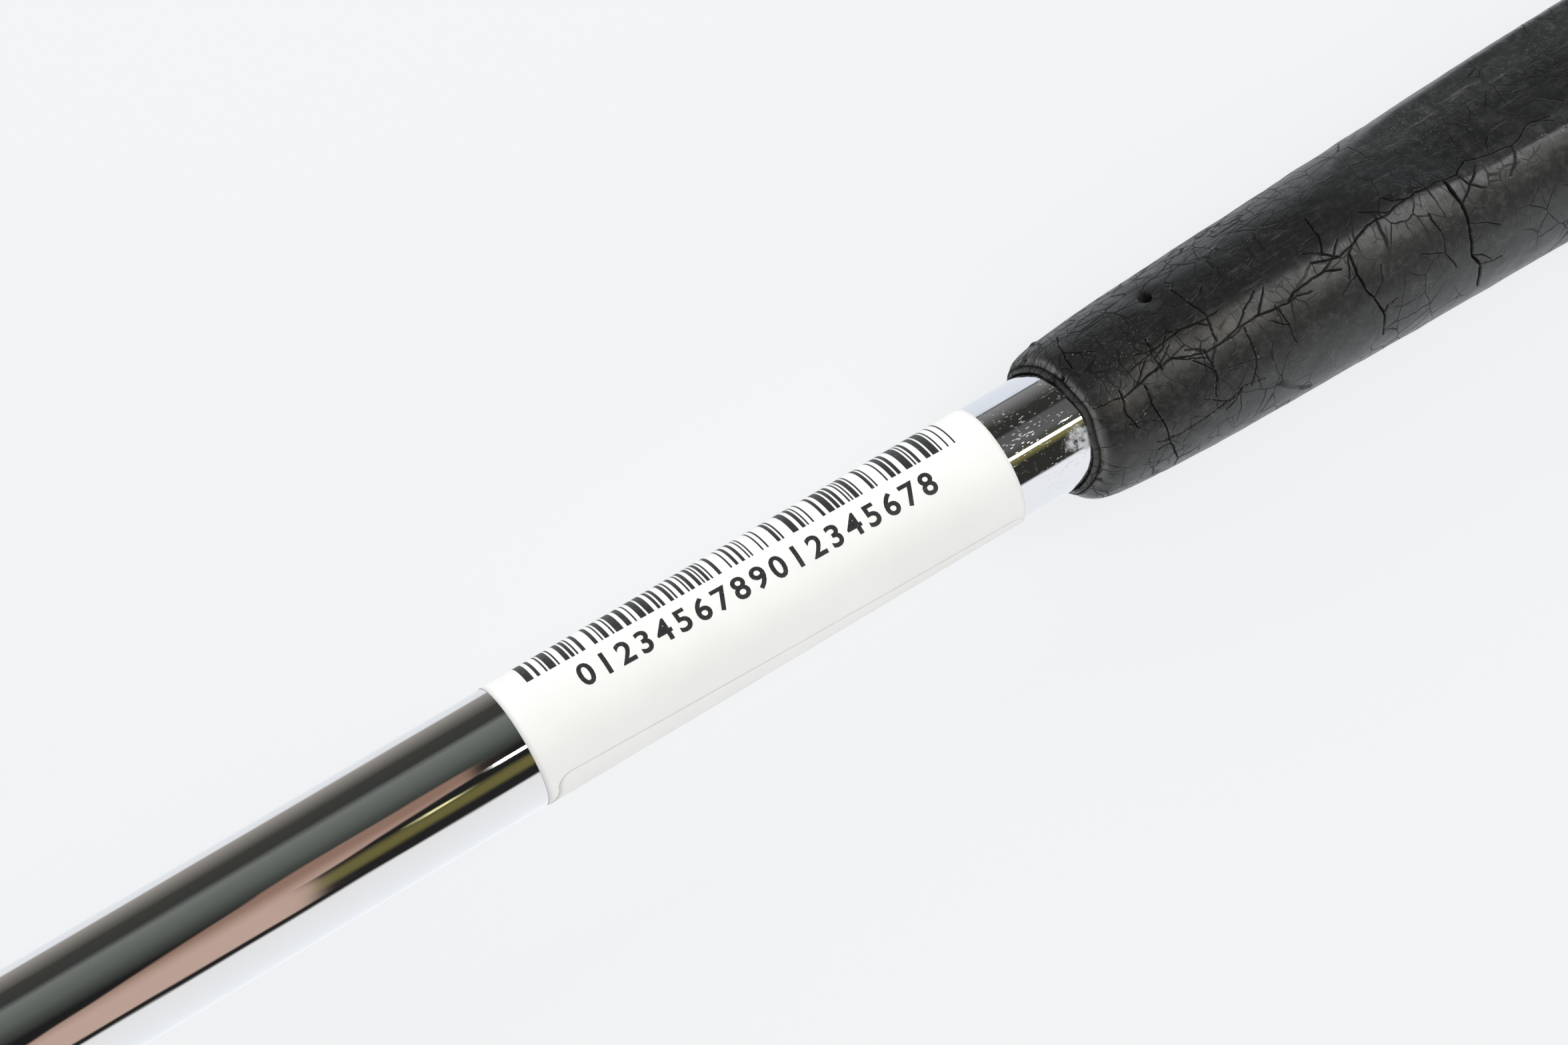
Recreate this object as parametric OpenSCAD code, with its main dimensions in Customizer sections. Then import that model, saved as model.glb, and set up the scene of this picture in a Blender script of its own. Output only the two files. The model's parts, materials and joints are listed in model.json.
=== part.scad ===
// Telescopic white cane, fully extended, lying along +X from its butt to its roller tip.
// The origin is the centre of the flat end face of the butt cap. Millimetres, +Z up.

/* [Tubes] */
// Outside diameter of the chromed handle tube
handle_od = 16; // [15.6:0.1:17]
// Wall of the handle tube
handle_wall = 1; // [0.8:0.1:1]
// Distance from the butt to the handle tube's far end
handle_end = 350; // [345:5:400]
// Outside diameter of the upper white section
upper_od = 12.7; // [12.5:0.1:12.8]
// Outside diameter of the middle white section
middle_od = 9.6; // [9.4:0.1:9.7]
// Outside diameter of the lower section
lower_od = 6.8; // [6.6:0.1:6.9]
// Wall of the upper section
upper_wall = 0.9; // [0.8:0.05:0.9]
// Wall of the middle and lower sections
lower_wall = 0.8; // [0.7:0.05:0.8]
// Length of each of the three sliding sections
section_len = 302; // [290:1:304]
// Overlap left inside the next tube when a section is fully out
overlap = 38; // [36:1:44]

/* [Grip] */
// Distance from the butt to the mouth of the grip
grip_end = 150; // [140:1:170]
// Radius that the grip's straight flare starts from, extended to the mouth
flare_r = 11.3; // [11:0.05:11.5]
// Growth of the grip's radius for each millimetre behind the mouth
flare_slope = 0.0308; // [0.02:0.0002:0.032]
// Drop of the neck at the mouth below the straight flare
neck_drop = 1.25; // [1:0.05:1.3]
// Distance over which the neck dies away
neck_len = 8; // [5:0.5:12]
// Distance from the mouth to where the palm swell starts to round down
palm_start = 85; // [70:1:100]
// How fast the palm swell rounds down to the butt
palm_fall = 0.0006; // [0.0003:0.0001:0.0008]
// Height of the index finger's flat above the cane's axis
flat_height = 11.3; // [11:0.1:12]
// Distance from the mouth to where the ramp of the flat begins
flat_start = 52; // [48:1:70]
// Length of the ramp down to the flat
flat_ramp = 20; // [10:1:25]
// Angle of the flat round from +Z towards -Y
flat_angle = 40; // [20:5:60]
// Diameter of the vent hole in the grip
vent_d = 1.4; // [1.2:0.1:2]
// Distance from the mouth to the vent hole
vent_back = 18.5; // [14:0.5:24]
// Angle of the vent hole round from +Z towards -Y
vent_angle = 48; // [20:2:60]

/* [Label] */
// Length of the paper label
label_len = 69.5; // [50:0.5:72]
// Distance from the grip's mouth to the label
label_gap = 8; // [4:0.5:12]
// Thickness of the paper
label_t = 0.12; // [0.1:0.01:0.2]

/* [Butt] */
// Length of the butt cap outside the tube
cap_len = 12; // [10:0.5:14]
// Diameter of the hole for a wrist strap
strap_d = 4.5; // [3:0.5:5]
// Length of the cap's spigot inside the tube
spigot_len = 22; // [18:1:26]

/* [Locks] */
// Radial thickness of the threaded collar outside its tube
collar_t = 1.2; // [1.1:0.05:1.3]
// Radial thickness of the clamp nut outside the collar
nut_t = 2; // [1.8:0.1:2.2]
// Number of finger flutes round a nut
flutes = 18; // [12:1:24]

/* [Tip] */
// Diameter of the roller
roller_d = 27; // [24:0.5:28]
// Length of the roller
roller_len = 40; // [36:1:46]
// Diameter of the stud that the roller turns on
stud_d = 5; // [4.6:0.2:5]

/* [Hidden] */
$fn = 64;
run = 0.05;             // radial running fit between a sliding or turning pair
clear = 0.3;            // gap between bodies that don't guide each other
eps = 0.01;

handle_id = handle_od - 2 * handle_wall;
upper_id = upper_od - 2 * upper_wall;
middle_id = middle_od - 2 * lower_wall;
lower_id = lower_od - 2 * lower_wall;

upper_start = handle_end - overlap;
upper_end = upper_start + section_len + 8;
middle_start = upper_end - overlap;
middle_end = middle_start + section_len;
lower_start = middle_end - overlap;
lower_end = lower_start + section_len;
mouth_r = flare_r - neck_drop;

// Places along a lock, from the end of the tube that carries it
collar_back = 18;
collar_step = 14;
collar_front = 9;
collet_front = 11.6;
nut_back = 13.4;
nut_lip = 11.9;
nut_front = 15;

// Places along the tip, from the end of the lower tube
ferrule_back = 16;
ferrule_front = 10;
roller_back = 13;
race_w = 4;
race_r = 6.5;
roller_x = lower_end + roller_back;
rear_race_x = roller_x + 1;
front_race_x = roller_x + 23;
pocket_r = 7.5;
nose_cap_t = 4.5;
spacer_r = 3.6;

// Outside radius of the grip at a distance d behind its mouth
function grip_r(d) =
    flare_r + flare_slope * d - neck_drop * exp(-d / neck_len) - palm_fall * pow(max(0, d - palm_start), 2);

// Points of a quarter circle about [cx, cy], from angle a to angle b
function arc(cx, cy, r, a, b, n = 6) =
    [for (i = [0:n]) [cx + r * cos(a + (b - a) * i / n), cy + r * sin(a + (b - a) * i / n)]];

// Puts something drawn along +Z onto the cane's axis at x
module on_axis(x) {
    translate([x, 0, 0]) rotate([0, 90, 0]) children();
}

// Turns an outline of [x, radius] points about the cane's axis
module turned(points) {
    rotate([0, 90, 0]) rotate_extrude() polygon([for (p = points) [p[1], p[0]]]);
}

// A plain round tube or, with no bore, a rod between two places on the axis
module tube(x0, x1, od, id = 0) {
    difference() {
        on_axis(x0) cylinder(h = x1 - x0, d = od);
        if (id > 0) on_axis(x0 - 1) cylinder(h = x1 - x0 + 2, d = id);
    }
}

// Rubber hand grip: swelling body, rolled mouth with a groove and an inner bead
module grip() {
    shoulder = 1.5;
    body_len = grip_end - cap_len;
    ramp_x = grip_end - flat_start;
    lip_r = mouth_r - shoulder;
    outline = concat(
        [[cap_len, handle_od / 2], [grip_end + 0.5, handle_od / 2], [grip_end + 0.5, lip_r - 0.35]],
        [[grip_end - 0.6, lip_r - 0.2], [grip_end, lip_r]],
        arc(grip_end - shoulder, mouth_r - shoulder, shoulder, 0, 90),
        [for (i = [1:24]) let (d = shoulder + (body_len - shoulder) * pow(i / 24, 1.4)) [grip_end - d, grip_r(d)]]
    );
    color([0.07, 0.07, 0.07]) difference() {
        turned(outline);
        rotate([flat_angle + 90, 0, 0])
            linear_extrude(40, center = true)
            polygon([[cap_len - 1, flat_height], [ramp_x - flat_ramp, flat_height],
                     [ramp_x, grip_r(flat_start)], [ramp_x + 4, 20], [cap_len - 1, 20]]);
        rotate([vent_angle, 0, 0])
            translate([grip_end - vent_back, 0, handle_od / 2 - 1])
            cylinder(h = 10, d = vent_d);
    }
}

// Moulded end cap with a cross hole for a wrist strap and a spigot in the handle tube
module butt_cap() {
    round_r = 4.5;
    rim_r = grip_r(grip_end - cap_len);
    outline = concat(
        [[0, 0]],
        arc(round_r, rim_r - round_r, round_r, 180, 90),
        [[cap_len, rim_r], [cap_len, handle_id / 2], [cap_len + spigot_len, handle_id / 2]],
        [[cap_len + spigot_len, 0]]
    );
    color([0.09, 0.09, 0.09]) difference() {
        turned(outline);
        translate([cap_len / 2, 20, 0]) rotate([90, 0, 0]) cylinder(h = 40, d = strap_d);
        translate([cap_len + spigot_len / 2, 0, -20]) cylinder(h = 40, d = 3);
    }
}

// Cross pin that holds the cap's spigot in the handle tube
module cap_pin() {
    color([0.7, 0.7, 0.72])
        translate([cap_len + spigot_len / 2, 0, 0]) cylinder(h = handle_od - 0.6, d = 3, center = true);
}

// Rubber buffer that the upper section meets when the cane is closed
module stop_buffer() {
    x0 = cap_len + spigot_len;
    r = handle_id / 2 - clear;
    color([0.12, 0.12, 0.12]) difference() {
        turned(concat([[x0, 0], [x0, r]], arc(x0 + 6, r - 2, 2, 90, 0), [[x0 + 8, 0]]));
        on_axis(x0 + 4) cylinder(h = 5, d = 4);
    }
}

// Chromed handle tube with the cross holes of the cap's pin
module handle_tube() {
    color([0.78, 0.78, 0.8]) difference() {
        tube(cap_len, handle_end, handle_od, handle_id);
        translate([cap_len + spigot_len / 2, 0, -20]) cylinder(h = 40, d = 3);
    }
}

// Paper label wrapped round the handle tube in front of the grip
module paper_label() {
    x0 = grip_end + label_gap;
    color([0.93, 0.93, 0.92]) tube(x0, x0 + label_len, handle_od + 2 * label_t, handle_od);
}

// Threaded collar fixed over the end of the outer tube, with the collet's conical seat
module lock_collar(x, outer_d, inner_d) {
    r0 = outer_d / 2;
    rn = inner_d / 2;
    rc = r0 + collar_t;
    outline = concat(
        [[x - collar_back, r0]],
        arc(x - collar_back + 1, rc + 0.2, 1, 180, 90, 4),
        [[x - collar_step, rc + 1.2], [x - collar_step, rc], [x + collar_front - 0.5, rc]],
        [[x + collar_front, rc - 0.5], [x + collar_front, rn + 1.75], [x, rn + 0.95], [x, r0]]
    );
    color([0.75, 0.76, 0.78]) turned(outline);
}

// Split nylon collet that the nut presses onto the inner tube
module lock_collet(x, inner_d) {
    rn = inner_d / 2;
    outline = [
        [x, rn + run], [x + collet_front, rn + run], [x + collet_front, rn + 2.3],
        [x + collar_front, rn + 2.3], [x + collar_front, rn + 1.75], [x, rn + 0.95]
    ];
    color([0.9, 0.9, 0.86]) difference() {
        turned(outline);
        for (a = [45, 135])
            rotate([a, 0, 0]) translate([x - 1, -20, -0.4]) cube([collar_front, 40, 0.8]);
    }
}

// Fluted clamp nut that runs on the collar's thread
module lock_nut(x, outer_d, inner_d) {
    rc = outer_d / 2 + collar_t;
    rn = inner_d / 2;
    ro = rc + nut_t;
    outline = concat(
        [[x - nut_back, rc + run], [x - nut_back, ro - 0.6], [x - nut_back + 0.6, ro]],
        arc(x + nut_front - 2.5, ro - 2.5, 2.5, 90, 0),
        [[x + nut_front, rn + 0.5], [x + nut_lip, rn + 0.5], [x + nut_lip, rc + run]]
    );
    color([0.1, 0.1, 0.11]) difference() {
        turned(outline);
        for (i = [0:flutes - 1])
            rotate([i * 360 / flutes, 0, 0])
                translate([x - nut_back + 2.4, 0, ro + 0.55])
                rotate([0, 90, 0]) cylinder(h = nut_back + nut_front - 7.5, r = 1.1, $fn = 24);
    }
}

// Plug in the hidden end of a section, whose flange keeps the guide bush on
module end_plug(x, tube_id, bore_d) {
    color([0.85, 0.85, 0.82]) difference() {
        turned([[x - 2.5, 0], [x - 2.5, bore_d / 2 - 1], [x - 1.8, bore_d / 2 - clear],
                [x, bore_d / 2 - clear], [x, tube_id / 2], [x + 8, tube_id / 2], [x + 8, 0]]);
        on_axis(x - 3) cylinder(h = 12, d = tube_id / 2);
    }
}

// Acetal bush that centres a section in the bore of the next tube, free to turn on it
module guide_bush(x, tube_od, bore_d) {
    rb = bore_d / 2 - run;
    ri = tube_od / 2 + run;
    color([0.92, 0.9, 0.82])
        turned([[x + 0.2, ri], [x + 0.2, rb], [x + 8, rb], [x + 8.3, rb - 0.25], [x + 21.7, rb - 0.25],
                [x + 22, rb], [x + 30, rb], [x + 30, ri]]);
}

// Metal ring bonded in front of the bush, which stops the section from pulling out
module stop_ring(x, tube_od, bore_d) {
    color([0.75, 0.76, 0.78]) tube(x + 30.2, x + overlap - 0.1, bore_d - 2 * clear, tube_od);
}

// Aluminium ferrule on the end of the lower tube
module tip_ferrule() {
    r = lower_od / 2 + 1.5;
    x1 = lower_end + ferrule_front;
    outline = concat(
        [[lower_end - ferrule_back, lower_od / 2], [lower_end - ferrule_back, r - 0.6]],
        [[lower_end - ferrule_back + 0.6, r], [x1 - 2, r], [x1, r - 1.2], [x1, stud_d / 2]],
        [[lower_end, stud_d / 2], [lower_end, lower_od / 2]]
    );
    color([0.75, 0.76, 0.78]) turned(outline);
}

// Stud screwed into the ferrule: the axle of the roller
module tip_stud() {
    x1 = lower_end + ferrule_front;
    color([0.7, 0.7, 0.72]) {
        tube(lower_end + 1, rear_race_x, stud_d);
        tube(x1, rear_race_x, 8);
        tube(rear_race_x - eps, front_race_x + race_w + 7, stud_d);
    }
}

// Sleeve on the stud that keeps the two bearings apart
module bearing_spacer() {
    color([0.75, 0.76, 0.78])
        tube(rear_race_x + race_w, front_race_x, 2 * spacer_r, stud_d);
}

// Washer in front of the front bearing
module tip_washer() {
    x = front_race_x + race_w;
    color([0.7, 0.7, 0.72]) tube(x, x + 1, 9, stud_d);
}

// Hexagon lock nut on the end of the stud
module tip_nut() {
    x = front_race_x + race_w + 1;
    color([0.7, 0.7, 0.72]) difference() {
        on_axis(x) cylinder(h = 5, d = 9.2, $fn = 6);
        on_axis(x - 1) cylinder(h = 7, d = stud_d);
    }
}

// Sealed ball bearing seen as one ring with its shield grooves
module bearing(x) {
    ri = stud_d / 2 + 0.03;
    color([0.6, 0.6, 0.62])
        turned([[x, ri], [x, 3.6], [x + 0.3, 3.8], [x + 0.3, 5.3], [x, 5.5], [x, race_r],
                [x + race_w, race_r], [x + race_w, 5.5], [x + race_w - 0.3, 5.3],
                [x + race_w - 0.3, 3.8], [x + race_w, 3.6], [x + race_w, ri]]);
}

// Nylon roller that sweeps the ground: barrel with round shoulders, seats for two bearings
module tip_roller() {
    r = roller_d / 2;
    x0 = roller_x;
    x1 = roller_x + roller_len;
    outline = concat(
        [[x0, race_r - 1.5], [x0, r - 8]],
        arc(x0 + 8, r - 8, 8, 180, 90, 10),
        arc(x1 - 10, r - 10, 10, 90, 12, 10),
        [[x1 - nose_cap_t / 2, pocket_r], [front_race_x + race_w, pocket_r]],
        [[front_race_x + race_w, race_r], [front_race_x, race_r], [front_race_x, spacer_r + 1]],
        [[rear_race_x + race_w, spacer_r + 1], [rear_race_x + race_w, race_r]],
        [[rear_race_x, race_r], [rear_race_x, race_r - 1.5]]
    );
    color([0.92, 0.92, 0.9]) turned(outline);
}

// Cap pressed into the nose of the roller over the lock nut
module roller_nose_cap() {
    x1 = roller_x + roller_len;
    r = pocket_r;
    color([0.88, 0.88, 0.86])
        turned([[x1 - nose_cap_t, 0], [x1 - nose_cap_t, r], [x1 - nose_cap_t / 2, r],
                [x1 - 1.2, r - 1.5], [x1 - 0.4, r - 3.5], [x1, 2.5], [x1, 0]]);
}

grip();
butt_cap();
cap_pin();
stop_buffer();
handle_tube();
paper_label();

lock_collar(handle_end, handle_od, upper_od);  // upper_lock_collar
lock_collet(handle_end, upper_od);  // upper_lock_collet
lock_nut(handle_end, handle_od, upper_od);  // upper_lock_nut
color([0.94, 0.94, 0.93]) tube(upper_start, upper_end, upper_od, upper_id);  // upper_tube
end_plug(upper_start, upper_id, handle_id);  // upper_end_plug
guide_bush(upper_start, upper_od, handle_id);  // upper_guide_bush
stop_ring(upper_start, upper_od, handle_id);  // upper_stop_ring

lock_collar(upper_end, upper_od, middle_od);  // middle_lock_collar
lock_collet(upper_end, middle_od);  // middle_lock_collet
lock_nut(upper_end, upper_od, middle_od);  // middle_lock_nut
color([0.94, 0.94, 0.93]) tube(middle_start, middle_end, middle_od, middle_id);  // middle_tube
end_plug(middle_start, middle_id, upper_id);  // middle_end_plug
guide_bush(middle_start, middle_od, upper_id);  // middle_guide_bush
stop_ring(middle_start, middle_od, upper_id);  // middle_stop_ring

lock_collar(middle_end, middle_od, lower_od);  // lower_lock_collar
lock_collet(middle_end, lower_od);  // lower_lock_collet
lock_nut(middle_end, middle_od, lower_od);  // lower_lock_nut
color([0.8, 0.12, 0.1]) tube(lower_start, lower_end, lower_od, lower_id);  // lower_tube
end_plug(lower_start, lower_id, middle_id);  // lower_end_plug
guide_bush(lower_start, lower_od, middle_id);  // lower_guide_bush
stop_ring(lower_start, lower_od, middle_id);  // lower_stop_ring

tip_ferrule();
tip_stud();
bearing_spacer();
tip_washer();
tip_nut();
bearing(rear_race_x);  // rear_bearing
bearing(front_race_x);  // front_bearing
tip_roller();
roller_nose_cap();
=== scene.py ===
import json
import math

import bmesh
import bpy
import numpy as np
from mathutils import Matrix, Vector

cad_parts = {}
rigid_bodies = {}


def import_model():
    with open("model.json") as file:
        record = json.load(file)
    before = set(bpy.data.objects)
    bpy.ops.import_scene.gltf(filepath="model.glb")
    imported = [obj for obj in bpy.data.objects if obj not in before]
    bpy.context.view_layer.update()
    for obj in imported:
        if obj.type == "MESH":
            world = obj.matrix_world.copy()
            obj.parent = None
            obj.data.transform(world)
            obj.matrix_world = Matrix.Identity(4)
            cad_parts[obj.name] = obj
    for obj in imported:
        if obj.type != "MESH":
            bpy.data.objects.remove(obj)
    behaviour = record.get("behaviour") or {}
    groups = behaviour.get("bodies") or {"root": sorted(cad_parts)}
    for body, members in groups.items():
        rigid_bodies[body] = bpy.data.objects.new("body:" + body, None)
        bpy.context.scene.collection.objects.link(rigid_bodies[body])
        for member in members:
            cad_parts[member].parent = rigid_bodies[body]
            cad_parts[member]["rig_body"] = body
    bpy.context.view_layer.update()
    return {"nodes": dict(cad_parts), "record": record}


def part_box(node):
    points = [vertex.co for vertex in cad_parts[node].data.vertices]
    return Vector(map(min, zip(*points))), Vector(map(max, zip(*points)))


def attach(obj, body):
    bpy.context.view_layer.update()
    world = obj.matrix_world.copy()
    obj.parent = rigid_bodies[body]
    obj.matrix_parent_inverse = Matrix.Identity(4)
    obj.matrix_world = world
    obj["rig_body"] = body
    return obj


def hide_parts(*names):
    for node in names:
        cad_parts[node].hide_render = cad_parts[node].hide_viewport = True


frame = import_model()

# ---------------------------------------------------------------- dimensions
# Everything is in metres, in the CAD's frame: the cane lies along +X from its butt.
# "Round" angles turn about the cane's axis from +Z towards -Y, in degrees.
MM = 0.001
BODY = {node: obj["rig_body"] for node, obj in frame["nodes"].items()}
GRIP_LOW, GRIP_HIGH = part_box("grip")
TUBE_LOW, TUBE_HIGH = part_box("handle_tube")
LABEL_LOW, LABEL_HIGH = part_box("paper_label")
TUBE_R = TUBE_HIGH.y
LIP_PROUD = 0.5 * MM    # how far the CAD grip's inner lip stands out of its mouth
MOUTH_X = GRIP_HIGH.x - LIP_PROUD
GRIP_LEN = MOUTH_X - GRIP_LOW.x
FLOOR_GAP = 0.05 * MM
FLOOR_Z = -max(GRIP_HIGH.y, GRIP_HIGH.z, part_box("tip_roller")[1].z) - FLOOR_GAP


def around(x, r, angle):
    """The point at x along the cane, r from its axis, at a round angle."""
    a = math.radians(angle)
    return Vector((x, -r * math.sin(a), r * math.cos(a)))


# -------------------------------------------------------------------- camera
# The camera looks down on the cane, a little towards its butt, and is rolled.
TILT = math.radians(15.65)
ROLL = math.radians(30.36)
LENS_MM = 84.2
SENSOR_MM = 36
AIM = Vector((LABEL_LOW.x + 24.5 * MM, -6.8 * MM, -6.9 * MM))
DISTANCE = 457 * MM


def make_camera():
    """The scene's camera, at the photograph's viewing angle, looking at AIM from DISTANCE."""
    forward = Vector((-math.sin(TILT), 0, -math.cos(TILT)))
    right = Vector((
        -math.cos(ROLL) * math.cos(TILT),
        math.sin(ROLL),
        math.cos(ROLL) * math.sin(TILT),
    ))
    up = right.cross(forward)
    data = bpy.data.cameras.new("camera")
    data.lens = LENS_MM
    data.sensor_width = SENSOR_MM
    data.clip_start = 0.01
    data.clip_end = 50
    camera = bpy.data.objects.new("camera", data)
    bpy.context.scene.collection.objects.link(camera)
    camera.matrix_world = Matrix((
        (right.x, up.x, -forward.x, 0),
        (right.y, up.y, -forward.y, 0),
        (right.z, up.z, -forward.z, 0),
        (0, 0, 0, 1),
    ))
    camera.location = AIM - forward * DISTANCE
    bpy.context.scene.camera = camera


make_camera()


# ------------------------------------------------------------ material nodes
class Graph:
    """A material's or world's node tree, built from the left with short calls."""

    def __init__(self, owner):
        owner.use_nodes = True
        self.tree = owner.node_tree
        self.tree.nodes.clear()

    def add(self, kind, **sockets):
        node = self.tree.nodes.new(kind)
        for name, value in sockets.items():
            self.set(node, name.replace("_", " "), value)
        return node

    def set(self, node, name, value):
        """Links or sets an input, by its name, or by its number as i0, i1 and so on."""
        numbered = name[0] == "i" and name[1:].isdigit()
        socket = node.inputs[int(name[1:]) if numbered else name]
        if isinstance(value, bpy.types.NodeSocket):
            self.tree.links.new(value, socket)
        else:
            socket.default_value = value

    def math(self, operation, a, b=0.0, c=0.0, clamp=False):
        node = self.add("ShaderNodeMath", i0=a, i1=b, i2=c)
        node.operation = operation
        node.use_clamp = clamp
        return node.outputs[0]

    def times(self, a, b):
        return self.math("MULTIPLY", a, b)

    def most(self, a, b):
        return self.math("MAXIMUM", a, b)

    def coords(self):
        """Object coordinates, which are the CAD frame's, and their three parts."""
        where = self.add("ShaderNodeTexCoord").outputs["Object"]
        split = self.add("ShaderNodeSeparateXYZ", i0=where)
        return where, split.outputs[0], split.outputs[1], split.outputs[2]

    def cylinder(self, radius):
        """Distance along the cane and arc round it at a radius, as a vector, then x and the angle."""
        _, x, y, z = self.coords()
        angle = self.math("ARCTAN2", self.times(y, -1.0), z)
        arc = self.times(angle, radius)
        return self.add("ShaderNodeCombineXYZ", i0=x, i1=arc).outputs[0], x, angle

    def scaled(self, vector, x=1.0, y=1.0, z=1.0):
        node = self.add("ShaderNodeMapping", Vector=vector, Scale=(x, y, z))
        return node.outputs[0]

    def noise(self, vector, scale, detail=4.0, roughness=0.55, distortion=0.0):
        node = self.add("ShaderNodeTexNoise", Vector=vector, Scale=scale, Detail=detail,
                        Roughness=roughness, Distortion=distortion)
        return node.outputs["Fac"]

    def cells(self, vector, along, across, feature="F1"):
        """Distance inside random cells, so many to the metre along the cane and across it."""
        node = self.add("ShaderNodeTexVoronoi", Vector=self.scaled(vector, along, across, 1), Scale=1.0)
        node.feature = feature
        return node.outputs["Distance"]

    def dots(self, vector, along, across, size):
        """1 within a size, in cells, of the middle of each random cell."""
        return self.math("LESS_THAN", self.cells(vector, along, across), size)

    def edges(self, vector, along, across, width, core):
        """Thin lines between random cells, full up to core from the edge and gone at width."""
        return self.span(self.cells(vector, along, across, "DISTANCE_TO_EDGE"), width, core)

    def warped(self, vector, scale, reach):
        """A position pushed about by a coloured noise, by up to reach."""
        noise = self.add("ShaderNodeTexNoise", Vector=vector, Scale=scale, Detail=2.0)
        push = self.add("ShaderNodeVectorMath", i0=noise.outputs["Color"], i1=(reach, reach, 0))
        push.operation = "MULTIPLY"
        return self.add("ShaderNodeVectorMath", i0=push.outputs[0], i1=vector).outputs[0]

    def span(self, value, low, high, to_low=0.0, to_high=1.0):
        """A smooth step from to_low where the value is low to to_high where it is high."""
        node = self.add("ShaderNodeMapRange", i0=value, i1=low, i2=high, i3=to_low, i4=to_high)
        node.interpolation_type = "SMOOTHSTEP"
        return node.outputs[0]

    def mix(self, factor, a, b):
        node = self.tree.nodes.new("ShaderNodeMix")
        node.data_type = "RGBA"
        for index, value in ((0, factor), (6, a), (7, b)):
            if isinstance(value, bpy.types.NodeSocket):
                self.tree.links.new(value, node.inputs[index])
            elif index == 0:
                node.inputs[index].default_value = value
            else:
                node.inputs[index].default_value = (*value, 1.0)
        return node.outputs[2]

    def bump(self, height, strength, distance, normal=None):
        node = self.add("ShaderNodeBump", Height=height, Strength=strength, Distance=distance)
        if normal is not None:
            self.set(node, "Normal", normal)
        return node.outputs[0]

    def attribute(self, name):
        node = self.add("ShaderNodeAttribute")
        node.attribute_name = name
        return node.outputs["Fac"]

    def surface(self, color, roughness, normal=None, **fixed):
        shader = self.add("ShaderNodeBsdfPrincipled")
        self.set(shader, "Base Color", color if not isinstance(color, tuple) else (*color, 1.0))
        self.set(shader, "Roughness", roughness)
        if normal is not None:
            self.set(shader, "Normal", normal)
        for name, value in fixed.items():
            self.set(shader, name.replace("_", " "), value)
        out = self.add("ShaderNodeOutputMaterial")
        self.tree.links.new(shader.outputs[0], out.inputs["Surface"])


def new_material(name):
    material = bpy.data.materials.new(name)
    return material, Graph(material)


MARKED_LEN = 22 * MM     # how far in front of the mouth the chrome is marked
CLOUD_BACK = 2.2 * MM    # the cloudy patch's middle, behind the mouth and round the tube
CLOUD_ANGLE = math.radians(-21)
CLOUD_LEN = 2.6 * MM
CLOUD_SPREAD = math.radians(13)


def chrome_scratches(g, where, haze):
    """Hairlines along and across the tube, and short nicks where the plating is hazy."""
    hair = g.noise(g.scaled(where, 60, 900, 1), 3.0, 3.0, 0.7)
    rub = g.noise(g.scaled(where, 900, 90, 1), 2.0, 3.0, 0.7)
    nick = g.dots(where, 1000, 3800, g.span(haze, 0.38, 0.7, 0.0, 0.28))
    return g.most(g.most(g.span(hair, 0.62, 0.72), g.span(rub, 0.66, 0.76)), nick)


def chrome_cloud(g, where, x, angle):
    """A cloudy patch of corrosion by the mouth, which breaks into specks at its edge."""
    along = g.math("DIVIDE", g.math("SUBTRACT", x, MOUTH_X - CLOUD_BACK), CLOUD_LEN)
    across = g.math("DIVIDE", g.math("SUBTRACT", angle, CLOUD_ANGLE), CLOUD_SPREAD)
    reach = g.math("ADD", g.times(along, along), g.times(across, across))
    body = g.times(g.span(reach, 1.5, 0.2), g.span(g.noise(where, 900.0, 3.0), 0.32, 0.66))
    specks = g.times(g.dots(where, 2600, 2600, 0.22), g.span(reach, 2.2, 0.4, 0.0, 0.8))
    return g.most(body, specks)


def chrome_material():
    """Bright chrome, scratched, pitted and corroded near the grip, and slightly wavy all over."""
    material, g = new_material("chrome")
    where, x, angle = g.cylinder(TUBE_R)
    near_grip = g.span(x, MOUTH_X + MARKED_LEN, MOUTH_X + 2 * MM)
    haze = g.noise(where, 120.0, 4.0)
    pit_size = g.span(g.noise(where, 260.0, 1.0), 0.45, 0.75, 0.02, 0.10)
    scratch = g.times(chrome_scratches(g, where, haze), near_grip)
    pit = g.times(g.dots(where, 1700, 1700, pit_size), near_grip)
    blots = g.most(pit, chrome_cloud(g, where, x, angle))
    marks = g.math("MAXIMUM", g.times(scratch, 0.5), blots, clamp=True)
    color = g.mix(marks, (0.83, 0.83, 0.84), (0.66, 0.69, 0.73))
    rough = g.math("ADD", g.span(haze, 0.3, 0.8, 0.015, 0.045), g.times(marks, 0.5))
    metal = g.math("SUBTRACT", 1.0, g.times(marks, 0.75))
    wave = g.bump(g.noise(g.scaled(where, 45, 170, 1), 1.0, 2.0), 1.0, 0.025 * MM)
    normal = g.bump(g.times(marks, -1.0), 0.4, 0.02 * MM, wave)
    g.surface(color, rough, normal, Metallic=metal)
    return material


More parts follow.
